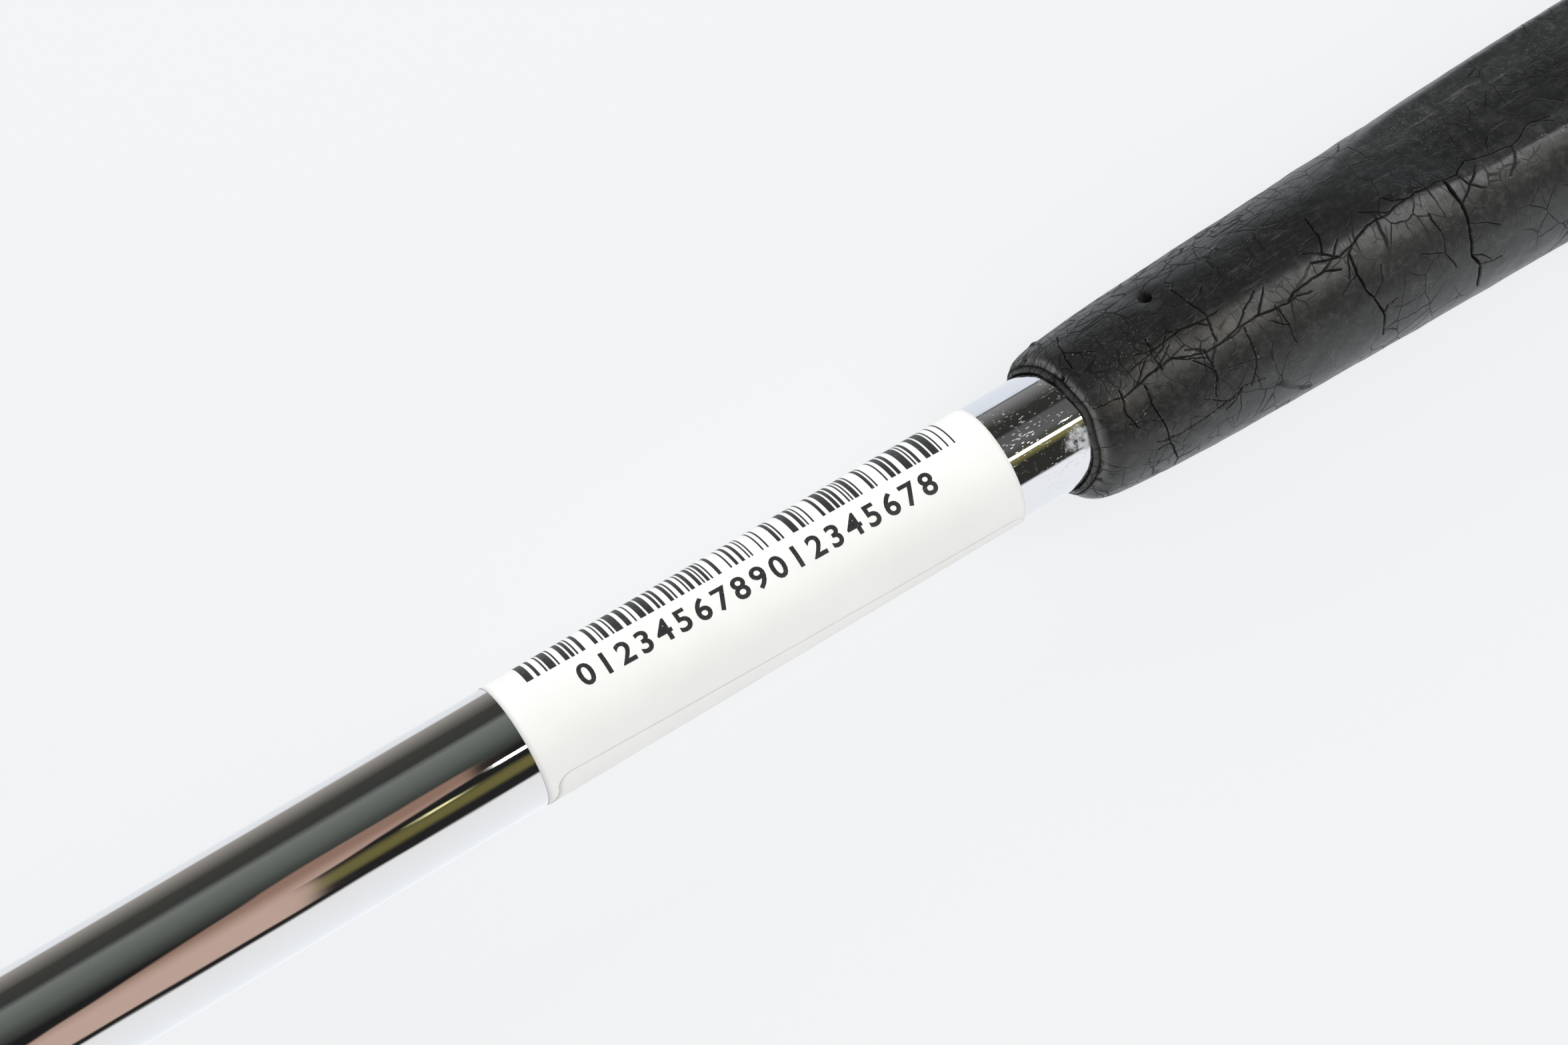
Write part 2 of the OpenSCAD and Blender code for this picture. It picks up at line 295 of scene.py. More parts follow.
# The rubber's angles are in radians, and back is the distance behind the mouth, in metres.
def rubber_crazing(g, where, warped, angle, back):
    """Hairline cells: in patches, closer ones towards the mouth, and long ones on the upper side there."""
    craze = g.times(g.edges(warped, 300, 230, 0.026, 0.007), g.span(g.noise(where, 85.0, 2.0), 0.42, 0.60))
    close = g.times(g.edges(warped, 520, 430, 0.042, 0.010), g.span(g.noise(where, 260.0, 2.0), 0.44, 0.58))
    near_mouth = g.span(back, 34 * MM, 8 * MM)
    close = g.times(close, g.span(near_mouth, 0.0, 1.0, 0.25, 0.9))
    upper = g.times(g.span(angle, 0.30, 0.55), g.span(back, 50 * MM, 34 * MM))
    plank = g.times(g.edges(warped, 190, 560, 0.055, 0.014), upper)
    return g.most(craze, g.most(close, g.times(plank, 0.8)))


def rubber_tone(g, where, fine, angle, back):
    """Black rubber with an olive tint painted along the ridge as a highlight, grey bloom and grime; the
    darker flank is painted shade, added in rubber_wear.
    """
    broad = g.noise(g.scaled(where, 35, 60, 1), 1.0, 3.0)
    # Painted highlight: an olive tint along the ridge, where the highlight falls, strongest near the mouth.
    olive_light = g.times(g.span(g.math("ABSOLUTE", angle), 0.34, 0.05),
                    g.span(g.noise(g.scaled(where, 90, 240, 1), 1.0, 4.0), 0.40, 0.66))
    olive_light = g.times(olive_light, g.span(back, 60 * MM, 10 * MM, 0.0, 0.6))
    grime = g.span(g.noise(g.scaled(where, 420, 420, 1), 1.0, 7.0, 0.75), 0.50, 0.72)
    color = g.mix(g.span(broad, 0.3, 0.75), (0.014, 0.0145, 0.0145), (0.025, 0.026, 0.026))
    color = g.mix(olive_light, color, (0.055, 0.048, 0.033))
    color = g.mix(g.times(g.span(fine, 0.45, 0.8), 0.6), color, (0.06, 0.061, 0.06))
    return g.mix(g.times(grime, 0.4), color, (0.10, 0.10, 0.097))


def rubber_wear(g, color, where, streak, angle, back):
    """Lengthwise scuffs, smudges towards the palm, and painted shade that darkens the upper flank."""
    scuff = g.times(g.span(streak, 0.56, 0.72), g.span(g.noise(where, 70.0, 2.0), 0.40, 0.62))
    color = g.mix(g.times(scuff, g.span(angle, 0.0, 0.5, 0.10, 0.5)), color, (0.16, 0.16, 0.155))
    smudge = g.span(g.noise(g.scaled(where, 160, 220, 1), 1.0, 5.0, 0.7), 0.55, 0.78)
    color = g.mix(g.times(smudge, g.span(back, 40 * MM, 60 * MM, 0.1, 0.4)), color, (0.13, 0.13, 0.13))
    # Painted shade: the upper flank, which faces away from the lights, is darkened by colour.
    shaded_flank = g.times(g.span(angle, 0.10, 0.28), g.span(angle, 1.05, 0.70))
    return g.mix(g.times(shaded_flank, 0.55), color, (0.003, 0.003, 0.003))


def rubber_dust(g, where, beside, angle, back):
    """Pale crumbs, thicker beside the cracks near the mouth and along the ridge by the flat."""
    size = g.span(g.noise(where, 60.0, 2.0), 0.35, 0.72, 0.03, 0.17)
    ridge = g.times(g.span(g.math("ABSOLUTE", angle), 0.12, 0.02), g.span(back, 66 * MM, 74 * MM))
    crumbs = g.most(g.times(beside, g.span(back, 40 * MM, 24 * MM, 0.10, 0.30)), g.times(ridge, 0.28))
    size = g.most(size, g.times(crumbs, g.span(g.noise(where, 600.0), 0.4, 0.6)))
    return g.dots(where, 2300, 2300, size)


def rubber_material():
    """Old black rubber: crazed, dusty, brushed and scuffed; the mesh says where it is cracked and worn,
    where painted shade darkens its cracks and hollows, and where painted light lifts the lip's bead.
    """
    material, g = new_material("aged_rubber")
    where, x, angle = g.cylinder(12.5 * MM)
    worn = g.attribute("worn")
    back = g.math("SUBTRACT", MOUTH_X, x)
    warped = g.warped(where, 420.0, 0.0012)
    fine = g.noise(where, 900.0, 6.0, 0.7)
    streak = g.noise(g.scaled(where, 120, 1500, 1), 1.0, 4.0, 0.65, 0.4)
    brush = g.noise(g.scaled(warped, 2600, 160, 1), 1.0, 3.0, 0.6)
    hair = rubber_crazing(g, where, warped, angle, back)
    color = rubber_tone(g, where, fine, angle, back)
    color = rubber_wear(g, color, where, streak, angle, back)
    dust = rubber_dust(g, where, g.attribute("beside"), angle, back)
    color = g.mix(g.times(dust, 0.5), color, (0.24, 0.24, 0.225))
    # The worn layer is real wear on the lip's ridge and the rim, and painted light on the bead.
    color = g.mix(g.times(worn, 0.8), color, (0.23, 0.23, 0.225))
    # Painted shade: cracks, hairline crazing, lip splits, grooves and the vent hole are painted near black.
    shade_lines = g.math("MAXIMUM", g.attribute("recess_shade"), g.times(hair, 0.85), clamp=True)
    color = g.mix(shade_lines, color, (0.0015, 0.0015, 0.0015))
    rough = g.math("ADD", g.span(fine, 0.2, 0.8, 0.29, 0.42), g.times(shade_lines, 0.4))
    rough = g.math("ADD", rough, g.times(worn, 0.2))
    height = g.math("MULTIPLY_ADD", brush, 0.5, g.times(fine, 0.5))
    height = g.math("ADD", height, g.times(streak, g.times(g.span(angle, 0.30, 0.55), 0.9)))
    height = g.math("SUBTRACT", height, g.times(hair, 1.6))
    g.surface(color, rough, g.bump(height, 0.7, 0.07 * MM), Specular_IOR_Level=0.5)
    return material


def paper_material():
    """Off-white label paper with a faint fibre grain."""
    material, g = new_material("label_paper")
    where, *_ = g.cylinder(TUBE_R)
    grain = g.noise(where, 1400.0, 5.0, 0.7)
    cloud = g.noise(where, 70.0, 3.0)
    color = g.mix(g.span(cloud, 0.3, 0.7), (0.835, 0.835, 0.82), (0.865, 0.865, 0.852))
    color = g.mix(g.times(g.span(grain, 0.62, 0.8), 0.25), color, (0.71, 0.705, 0.685))
    g.surface(color, g.span(grain, 0.2, 0.8, 0.55, 0.75), g.bump(grain, 0.25, 0.02 * MM))
    return material


def ink_material():
    """Thermal-transfer ink, slightly patchy."""
    material, g = new_material("label_ink")
    where, *_ = g.cylinder(TUBE_R)
    patchy = g.noise(where, 3200.0, 3.0, 0.8)
    color = g.mix(g.span(patchy, 0.62, 0.72), (0.022, 0.022, 0.024), (0.42, 0.42, 0.41))
    g.surface(color, 0.5)
    return material


def moulded_material(name, dark, light, rough, grain_scale=900.0, bump_mm=0.02):
    """Moulded plastic or rubber: slight mottling, satin grain and scuffs."""
    material, g = new_material(name)
    where, *_ = g.coords()
    grain = g.noise(where, grain_scale, 5.0, 0.65)
    broad = g.noise(where, 60.0, 3.0)
    scuff = g.span(g.noise(g.scaled(where, 900, 200, 200), 1.0, 4.0, 0.75), 0.64, 0.72)
    color = g.mix(g.span(broad, 0.3, 0.7), dark, light)
    scuffed = tuple(c + 0.12 if c < 0.3 else 0.35 * c for c in light)
    color = g.mix(g.times(scuff, 0.3), color, scuffed)
    roughness = g.math("ADD", g.span(grain, 0.2, 0.8, rough - 0.06, rough + 0.08),
                       g.times(scuff, 0.12))
    g.surface(color, roughness, g.bump(grain, 0.5, bump_mm * MM))
    return material


def turned_metal_material(name, tint, rough, grooves=4500.0):
    """Lathe-turned metal: fine rings across the cane's axis, and small handling marks."""
    material, g = new_material(name)
    where, *_ = g.coords()
    rings = g.noise(g.scaled(where, grooves, 25, 25), 1.0, 3.0, 0.7)
    marks = g.span(g.noise(g.scaled(where, 300, 1200, 1200), 1.0, 4.0, 0.7), 0.62, 0.74)
    darker = tuple(0.82 * c for c in tint)
    color = g.mix(g.span(rings, 0.3, 0.7), darker, tint)
    roughness = g.math("ADD", g.span(rings, 0.2, 0.8, rough - 0.07, rough + 0.07),
                       g.times(marks, 0.15))
    g.surface(color, roughness, g.bump(rings, 0.35, 0.015 * MM), Metallic=1.0)
    return material


def paint_material(name, radius, red_from=None):
    """Powder coat with orange peel and lengthwise rub marks, and red below a place if given."""
    material, g = new_material(name)
    where, *_ = g.coords()
    around_tube, x, _ = g.cylinder(radius)
    peel = g.noise(where, 900.0, 3.0, 0.5)
    broad = g.noise(g.scaled(where, 12, 60, 60), 1.0, 3.0)
    rub = g.noise(g.scaled(around_tube, 22, 1500, 1), 1.0, 4.0, 0.6, 0.2)
    wear = g.times(g.span(rub, 0.60, 0.72), g.span(g.noise(around_tube, 30.0, 2.0), 0.42, 0.62))
    speck_size = g.span(g.noise(around_tube, 45.0, 2.0), 0.52, 0.75, 0.0, 0.11)
    speck = g.dots(around_tube, 260, 260, speck_size)
    color = g.mix(g.span(broad, 0.3, 0.7), (0.60, 0.60, 0.585), (0.66, 0.66, 0.65))
    if red_from is not None:
        red = g.mix(g.span(broad, 0.3, 0.7), (0.46, 0.016, 0.012), (0.54, 0.024, 0.016))
        color = g.mix(g.math("GREATER_THAN", x, red_from), color, red)
    color = g.mix(g.times(wear, 0.30), color, (0.36, 0.36, 0.36))
    color = g.mix(g.times(speck, 0.75), color, (0.22, 0.22, 0.22))
    rough = g.math("ADD", g.span(peel, 0.2, 0.8, 0.24, 0.34), g.times(wear, 0.2))
    height = g.math("SUBTRACT", peel, g.times(speck, 1.5))
    g.surface(color, rough, g.bump(height, 0.12, 0.02 * MM), Coat_Weight=0.3, Coat_Roughness=0.12)
    return material


LOWER_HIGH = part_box("lower_tube")[1]
RED_LEN = 165 * MM
NUT_DARK, NUT_LIGHT = (0.014, 0.014, 0.016), (0.026, 0.026, 0.028)
LOOKS = {
    "chrome": chrome_material(),
    "grip_rubber": rubber_material(),
    "label_paper": paper_material(),
    "cap_plastic": moulded_material("cap_plastic", (0.012, 0.012, 0.013), (0.022, 0.022, 0.023), 0.42),
    "buffer_rubber": moulded_material("buffer_rubber", (0.014, 0.014, 0.014), (0.022, 0.022, 0.022), 0.62),
    "nut_plastic": moulded_material("nut_plastic", NUT_DARK, NUT_LIGHT, 0.40, 1600.0),
    "natural_nylon": moulded_material("natural_nylon", (0.74, 0.72, 0.62), (0.80, 0.78, 0.70), 0.38),
    "roller_nylon": moulded_material("roller_nylon", (0.76, 0.76, 0.73), (0.84, 0.84, 0.82), 0.36, 500.0),
    "aluminium": turned_metal_material("aluminium", (0.80, 0.81, 0.83), 0.26),
    "steel": turned_metal_material("steel", (0.62, 0.62, 0.64), 0.22),
    "bearing_steel": turned_metal_material("bearing_steel", (0.55, 0.55, 0.57), 0.18),
    "white_paint": paint_material("white_paint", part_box("upper_tube")[1].y),
    "lower_paint": paint_material("lower_paint", LOWER_HIGH.y, LOWER_HIGH.x - RED_LEN),
}
INK = ink_material()


def dress_cad_nodes():
    """Gives every CAD node the look of its material slot in the record."""
    slot_of = {row["node"]: row["material_slot"] for row in frame["record"]["subparts"]}
    for node, obj in frame["nodes"].items():
        if not obj.data.materials:
            obj.data.materials.append(None)
        for material_slot in obj.material_slots:
            material_slot.material = LOOKS[slot_of[node]]


dress_cad_nodes()


# --------------------------------------------------------------------- pieces
def add_piece(name, data, look, body):
    """A piece from its finished mesh, with its material, riding on its body."""
    data.materials.append(look)
    obj = bpy.data.objects.new(name, data)
    bpy.context.scene.collection.objects.link(obj)
    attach(obj, body)
    return obj


def on_rings(x, r, angle):
    """Points at x, at radius r from the cane's axis, at round angles in radians."""
    return np.stack([x, -r * np.sin(angle), r * np.cos(angle)], axis=-1)


def grid_faces(rows, columns, wrap):
    """Quads of a grid stored row by row; wrap joins the last column to the first."""
    last = columns if wrap else columns - 1
    row, column = np.meshgrid(np.arange(rows - 1), np.arange(last), indexing="ij")
    beside = (column + 1) % columns
    quads = np.stack([row * columns + column, row * columns + beside,
                      (row + 1) * columns + beside, (row + 1) * columns + column], axis=-1)
    return quads.reshape(-1, 4)


def grid_piece(name, points, wrap, look, body):
    """A smooth piece from an array of points [row, column, xyz]."""
    rows, columns = points.shape[:2]
    quads = grid_faces(rows, columns, wrap)
    data = bpy.data.meshes.new(name)
    data.vertices.add(rows * columns)
    data.vertices.foreach_set("co", points.reshape(-1).astype(np.float32))
    data.loops.add(quads.size)
    data.loops.foreach_set("vertex_index", quads.reshape(-1).astype(np.int32))
    data.polygons.add(len(quads))
    data.polygons.foreach_set("loop_start", np.arange(0, quads.size, 4, dtype=np.int32))
    data.update(calc_edges=True)
    data.polygons.foreach_set("use_smooth", [True] * len(quads))
    return add_piece(name, data, look, body)


# ---------------------------------------------------------------------- grip
FLARE_R = 11.3          # the profile of the CAD grip, in millimetres behind the mouth
FLARE_SLOPE = 0.0308
NECK_DROP = 1.25
NECK_LEN = 8.0
PALM_START = 85.0
PALM_FALL = 0.0006
FLAT_ANGLE = 39.0
FLAT_HEIGHT = 10.95
FLAT_START = 39.0
FLAT_RAMP = 25.0
FLAT_SOFT = 0.16        # how softly the flat meets the round
VENT_BACK = 18.5
VENT_ANGLE = 48.0
VENT_R = 0.7
VENT_DEPTH = 2.4
RIM_R = 9.6             # radius of the lip's worn ridge at the mouth
ARC_R = 12.5            # radius at which round angles on the grip are turned into lengths

# Cracks along the grip: from and to in mm behind the mouth, and round angle.
LONG_CRACKS = [
    (4, 41, -2), (38, 77, 6), (11, 26, -45), (12, 24, 14), (6, 72, 125), (5, 92, -125), (88, 130, 6),
]
# Cracks across it: mm behind the mouth, from and to round angle, and depth in mm.
CROSS_CRACKS = [
    (11, -6, -80, 0.40), (20, -5, -35, 0.30), (31, -4, -30, 0.30), (43, 0, -60, 0.55), (59, 8, -65, 0.70),
    (14, -2, 20, 0.30), (22, -4, 40, 0.30), (40, 8, 32, 0.40), (55, -3, -40, 0.28), (5, 30, 65, 0.28),
    (22, 120, 158, 0.40), (46, 124, 90, 0.40), (30, -127, -168, 0.40), (59, -128, -90, 0.46),
    (100, 80, 172, 0.50), (104, 4, -58, 0.44), (26, -6, -40, 0.26), (8, 0, -28, 0.30),
]
CRACK_SEED = 12
LONG_DEPTH = 0.40
TWIG_DEPTH = 0.28
BEND_SPACING = 3.2       # how far apart a crack's bends are, in mm
FADE_BESIDE = 0.55       # how far from a crack dust gathers, in mm
MM_PER_DEGREE = math.radians(1) * ARC_R


def wander(rng, start, end, sway):
    """A crooked line of (distance, round angle) points from start to end, bent every few millimetres."""
    length = math.hypot(end[0] - start[0], (end[1] - start[1]) * MM_PER_DEGREE)
    bends = max(2, round(length / BEND_SPACING))
    points = [start]
    for i in range(1, bends):
        along = i / bends
        d = start[0] + along * (end[0] - start[0]) + rng.uniform(-sway, sway)
        a = start[1] + along * (end[1] - start[1]) + rng.uniform(-sway, sway) / MM_PER_DEGREE
        points.append((d, a))
    return points + [end]


def add_twigs(rng, paths, trunk, chance):
    """Short cracks that leave some of a crack's bends, more along the grip than across it."""
    for d, a in trunk[1:-1]:
        if rng.random() < chance:
            way = rng.choice([-1, 1])
            tip = (d + way * rng.uniform(2.0, 4.5), a + rng.uniform(-16, 16))
            paths.append((0.08, TWIG_DEPTH, wander(rng, (d, a), tip, 0.45)))


def crack_paths():
    """The grip's main cracks, grown by rule: each is a half width and a depth in mm, and its points."""
    rng = np.random.default_rng(CRACK_SEED)
    paths = []
    for first, last, at in LONG_CRACKS:
        trunk = wander(rng, (first, at), (last, at + rng.uniform(-5, 5)), 1.0)
        paths.append((0.09, LONG_DEPTH, trunk))
        add_twigs(rng, paths, trunk, 0.8)
    for at, first, last, depth in CROSS_CRACKS:
        trunk = wander(rng, (at, first), (at + rng.uniform(-2, 2), last), 0.8)
        paths.append((0.05 + 0.15 * depth, depth, trunk))
        add_twigs(rng, paths, trunk, 0.7)
    return paths


def grip_radius(d):
    """The outside radius in millimetres at a distance d behind the mouth."""
    fall = PALM_FALL * np.maximum(0, d - PALM_START) ** 2
    return FLARE_R + FLARE_SLOPE * d - NECK_DROP * np.exp(-d / NECK_LEN) - fall


def smooth(value, low, high):
    """A soft step from 0 at low to 1 at high."""
    t = np.clip((value - low) / (high - low), 0, 1)
    return t * t * (3 - 2 * t)


def value_noise(u, v, seed):
    """Smooth noise from -1 to 1 over arrays of u and v, from a seeded lattice."""
    rng = np.random.default_rng(seed)
    lattice = rng.uniform(-1, 1, (64, 64))
    iu, iv = np.floor(u).astype(int), np.floor(v).astype(int)
    fu, fv = u - iu, v - iv
    fu, fv = fu * fu * (3 - 2 * fu), fv * fv * (3 - 2 * fv)
    a = lattice[iu % 64, iv % 64] * (1 - fu) + lattice[(iu + 1) % 64, iv % 64] * fu
    b = lattice[iu % 64, (iv + 1) % 64] * (1 - fu) + lattice[(iu + 1) % 64, (iv + 1) % 64] * fu
    return a * (1 - fv) + b * fv


def segment_distance(u, v, a, b):
    """Distance of each (u, v) from the segment a-b."""
    du, dv = b[0] - a[0], b[1] - a[1]
    t = np.clip(((u - a[0]) * du + (v - a[1]) * dv) / (du * du + dv * dv), 0, 1)
    return np.hypot(u - a[0] - t * du, v - a[1] - t * dv)


def crack_field(d, angle):
    """At each grid point: how deep the cracks are, in millimetres, how dark their painted shade is, and how
    near one is.
    """
    arc = np.radians(angle) * ARC_R
    u = d + 0.16 * value_noise(d * 0.6, arc * 0.6 + 40, 3)
    v = arc + 0.16 * value_noise(d * 0.6 + 20, arc * 0.6 + 60, 5)
    u = u + 0.06 * value_noise(d * 2, arc * 2 + 90, 4)
    v = v + 0.06 * value_noise(d * 2, arc * 2 + 30, 6)
    depth = np.zeros_like(u)
    dark = np.zeros_like(u)
    beside = np.zeros_like(u)
    for width, deep, path in crack_paths():
        points = [(at, turn * MM_PER_DEGREE) for at, turn in path]
        near = np.full_like(u, 1e3)
        for a, b in zip(points[:-1], points[1:]):
            near = np.minimum(near, segment_distance(u, v, a, b))
        thin = width * (0.8 + 0.15 * value_noise(d / 2.5, arc / 2.5, 7))
        depth = np.maximum(depth, deep * np.exp(-(near / thin) ** 2))
        dark = np.maximum(dark, np.exp(-(near / (1.05 * thin)) ** 2))
        beside = np.maximum(beside, np.exp(-(near / FADE_BESIDE) ** 2))
        depth = depth - 0.025 * np.exp(-((near - 3 * width) / (1.5 * width)) ** 2)
    return depth, dark, beside


SKIN_STEP = 0.08      # the skin's finest spacing, in millimetres


def grip_rows():
    """Distances behind the lip at which the grip's skin has a ring, closest where it is cracked."""
    last = GRIP_LEN / MM
    close = np.arange(0, 66, SKIN_STEP)
    wider = np.arange(66, 95, 2 * SKIN_STEP)
    palm = np.arange(95, last, 6 * SKIN_STEP)
    return np.concatenate([close, wider, palm, [last]])


def grip_angles():
    """Round angles at which the skin has a line, closest on the side that is cracked most."""
    fine = np.arange(-80, 82, math.degrees(SKIN_STEP / ARC_R))
    return np.concatenate([fine, np.linspace(fine[-1], 280, 124)[1:-1]])


def lip_rows(angle, side):
    """The rolled mouth from inside the bore to the lip's ridge: [distance, radius, darkness, wear]; the
    darkness is painted shade, and the bead's wear is painted light.
    """
    tube_r = TUBE_R / MM
    low = np.where(angle < 0, 0.6, 0.0) * side
    edge = 3.7 - 0.02 * np.minimum(np.abs(angle), 90) - low
    ragged = 0.10 * value_noise(angle / 9, 0 * angle + 3, 31)
    rows = [
        # The darkness column is painted shade: black in the bore and in the groove behind the bead.
        (edge + 6, tube_r + 0.01, 1, 0),
        (edge, tube_r + 0.01, 0.4, 0),
        # Painted light: these four bead rows have wear values that lighten the bead where it lies in shade;
        # the ridge's wear further out is real.
        (edge - 0.35 - 0.5 * side + ragged, tube_r + 0.08, 0, 0.15),
        (edge - 0.50 - 0.6 * side + ragged, tube_r + 0.28, 0, 0.25),
        (edge - 0.40 - 0.6 * side + ragged, tube_r + 0.50, 0, 0.30),
        (edge - 0.08 - 0.6 * side, tube_r + 0.68, 0.1, 0.15),
        (edge + 0.40 - 0.8 * side, tube_r + 0.78, 1, 0),
        (edge + 0.28 - 0.9 * side, tube_r + 0.88, 0.4, 0),
        (edge + 0.15 - 0.7 * side + ragged, tube_r + 1.02, 0, 0.35),
        (edge + 0.22 - 0.5 * side + ragged, tube_r + 1.22, 0, 0.8),
        (edge + 0.45 - 0.4 * side, tube_r + 1.42, 0, 1),
    ]
    return [[np.broadcast_to(np.asarray(v, float), angle.shape) for v in row] for row in rows]


def grip_skin(d, a):
    """The grip's outside at distances d and round angles a: radius, how dark its painted shade in cracks
    and the vent hole is, and how near a crack is.
    """
    arc = np.radians(a) * ARC_R
    lean = -0.45 * np.exp(-(np.maximum(0, d - 14) / 28) ** 2) + 0.3 / (1 + np.exp(-(d - 64) / 5))
    radius = grip_radius(d) + lean * np.sin(np.radians(a))
    off = np.radians(a - FLAT_ANGLE)
    ramp = smooth(d, FLAT_START, FLAT_START + FLAT_RAMP)
    height = (1 - ramp) * (grip_radius(d) + 0.3) + ramp * FLAT_HEIGHT
    flat = np.where(np.cos(off) > 0.3, height / np.maximum(np.cos(off), 0.3), 99)
    crest = 0.2 * np.exp(-((a - 10) / 8) ** 2) * smooth(d, 18, 30) * smooth(d, 66, 58)
    radius = radius - FLAT_SOFT * np.log1p(np.exp(np.clip((radius - flat) / FLAT_SOFT, -40, 40)))
    depth, dark, beside = crack_field(d, a)
    vent = np.hypot(d - VENT_BACK, 0.75 * (arc - math.radians(VENT_ANGLE) * ARC_R))
    hole = 1 / (1 + np.exp(np.clip((vent - VENT_R) / 0.05, -40, 40)))
    dent = 0.35 * np.exp(-(vent / 1.6) ** 2)
    flake = 0.3 * np.exp(-((d - 4.9) / 0.6) ** 2 - ((a - 84) / 4) ** 2)
    wave = 0.05 * value_noise(d / 4, arc / 4, 21) + 0.025 * value_noise(d / 1.4, arc / 1.4, 22)
    radius = radius + wave + crest + flake - dent - depth - VENT_DEPTH * hole
    # The vent hole is painted black inside as shade, along with the cracks.
    return radius, np.maximum(dark, hole), beside


# Splits in the lip: round angle and half width in degrees, and how deep, from 0 to 1.
LIP_SPLITS = [(31, 1.3, 1.0), (75, 1.6, 0.7), (-65, 1.4, 0.6)]


def lip_split(turn):
    """How deep in one of the lip's splits each round angle is, from 0 to 1."""
    return sum(share * np.exp(-((turn - at) / width) ** 2) for at, width, share in LIP_SPLITS)


def split_lip(lip, turn, side):
    """The lip's rows with its splits, painted dark as shade, and patchy wear, painted light on the bead:
    distance, radius, darkness and wear, stacked.
    """
    split = lip_split(turn)
    patchy = (1 - 0.7 * side) * (0.7 + 0.3 * value_noise(turn / 6, 0 * turn, 33))
    rows = []
    for row_d, row_r, row_shade, row_wear_and_fill in lip:
        outer = split * np.clip((row_r - TUBE_R / MM - 0.8) / 0.3, 0, 1)
        dark = np.maximum(row_shade, outer)
        rows.append((row_d + 0.9 * outer, row_r - 0.35 * outer, dark, row_wear_and_fill * patchy))
    return np.moveaxis(np.array(rows), 1, 0)


def make_grip():
    """The grip's outside, rolled mouth and back end as one unbroken skin with real cracks."""
    angle = grip_angles()
    turn = np.where(angle > 180, angle - 360, angle)
    side = smooth(np.abs(turn), 45, 95)
    lip = lip_rows(turn, side)
    lip_d, lip_r, lip_shade, lip_wear_and_fill = split_lip(lip, turn, side)
    u, a = np.meshgrid(grip_rows(), turn, indexing="ij")
    start = lip[-1][0] + 0.12
    d = u + start * np.exp(-u / 6)
    d[-1] = GRIP_LEN / MM
    radius, dark, beside = grip_skin(d, a)
    drop = grip_skin(start[None, :], turn[None, :])[0] - RIM_R
    split = lip_split(turn)[None, :] * np.exp(-u / 0.7)
    radius = radius - np.clip(drop, 0, 2) * np.exp(-u / 1.3) - 0.35 * split
    worn = 0.9 * np.exp(-u / 0.35) * (1 - 0.7 * side)[None, :] * (0.7 + 0.3 * value_noise(a / 6, u, 34))
    back = np.full((1, len(turn)), TUBE_R / MM + 0.01)
    all_d = np.concatenate([lip_d, d, 0 * back + GRIP_LEN / MM])
    all_r = np.concatenate([lip_r, radius, back])
    points = on_rings(MOUTH_X / MM - all_d, all_r, np.radians(np.broadcast_to(turn, all_d.shape)))
    look = LOOKS["grip_rubber"]
    grip = grid_piece("rubber_grip", points[::-1] * MM, True, look, BODY["grip"])
    # The first layer is painted shade in cracks, splits, grooves and the vent hole; the second is real
    # wear, with painted light on the bead.
    layers = {
        "recess_shade": (lip_shade, np.maximum(dark, split)),
        "worn": (lip_wear_and_fill, worn),
        "beside": (0 * lip_shade, beside),
    }
    for name, (on_lip, on_skin) in layers.items():
        values = np.concatenate([on_lip, on_skin, 0 * back])[::-1]
        layer = grip.data.attributes.new(name, "FLOAT", "POINT")
        layer.data.foreach_set("value", np.clip(values, 0, 1).reshape(-1).astype(np.float32))
    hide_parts("grip")


make_grip()


# ---------------------------------------------------------------- chrome tube
def lathe_piece(name, outline, segments, look, body):
    """A smooth piece turned about the cane's axis from (x, radius) points, closed on itself."""
    angle = np.linspace(0, 2 * math.pi, segments, endpoint=False)
    rows = np.array(outline + outline[:1])
    x = np.broadcast_to(rows[:, :1], (len(rows), segments))
    r = rows[:, 1:]
    return grid_piece(name, on_rings(x, r, angle), True, look, body)


def make_tube():
    """The handle tube, round enough for clean reflections, with rolled edges at both ends."""
    wall = 1.0 * MM
    edge = 0.15 * MM
    sides = 256
    x0, x1 = TUBE_LOW.x, TUBE_HIGH.x
    spans = np.linspace(x0 + edge, x1 - edge, 40)
    outside = [(x, TUBE_R) for x in spans]
    inside = [(x, TUBE_R - wall) for x in spans[::-1]]
    front = [(x1 - 0.3 * edge, TUBE_R - 0.3 * edge), (x1, TUBE_R - edge), (x1, TUBE_R - wall + edge)]
    back = [(x0, TUBE_R - wall + edge), (x0, TUBE_R - edge), (x0 + 0.3 * edge, TUBE_R - 0.3 * edge)]
    outline = outside + front + inside + back
    tube = lathe_piece("chrome_tube", outline, sides, LOOKS["chrome"], BODY["handle_tube"])
    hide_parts("handle_tube")


make_tube()


# --------------------------------------------------------------------- label
PAPER_T = 0.08 * MM
PAPER_R = TUBE_R + 0.01 * MM
LAP_GAP = 0.02 * MM
LABEL_LEN = LABEL_HIGH.x - LABEL_LOW.x
SHEET_START, SHEET_END = -90.0, 315.0    # round angles of the sheet's ends, which lap by 45 degrees
CORNER_R = 2.0 * MM
END_TUCK = 1.5 * MM                      # how much shorter the sheet is at its outer end
END_SLANT = 9                            # degrees that the outer end turns along its length

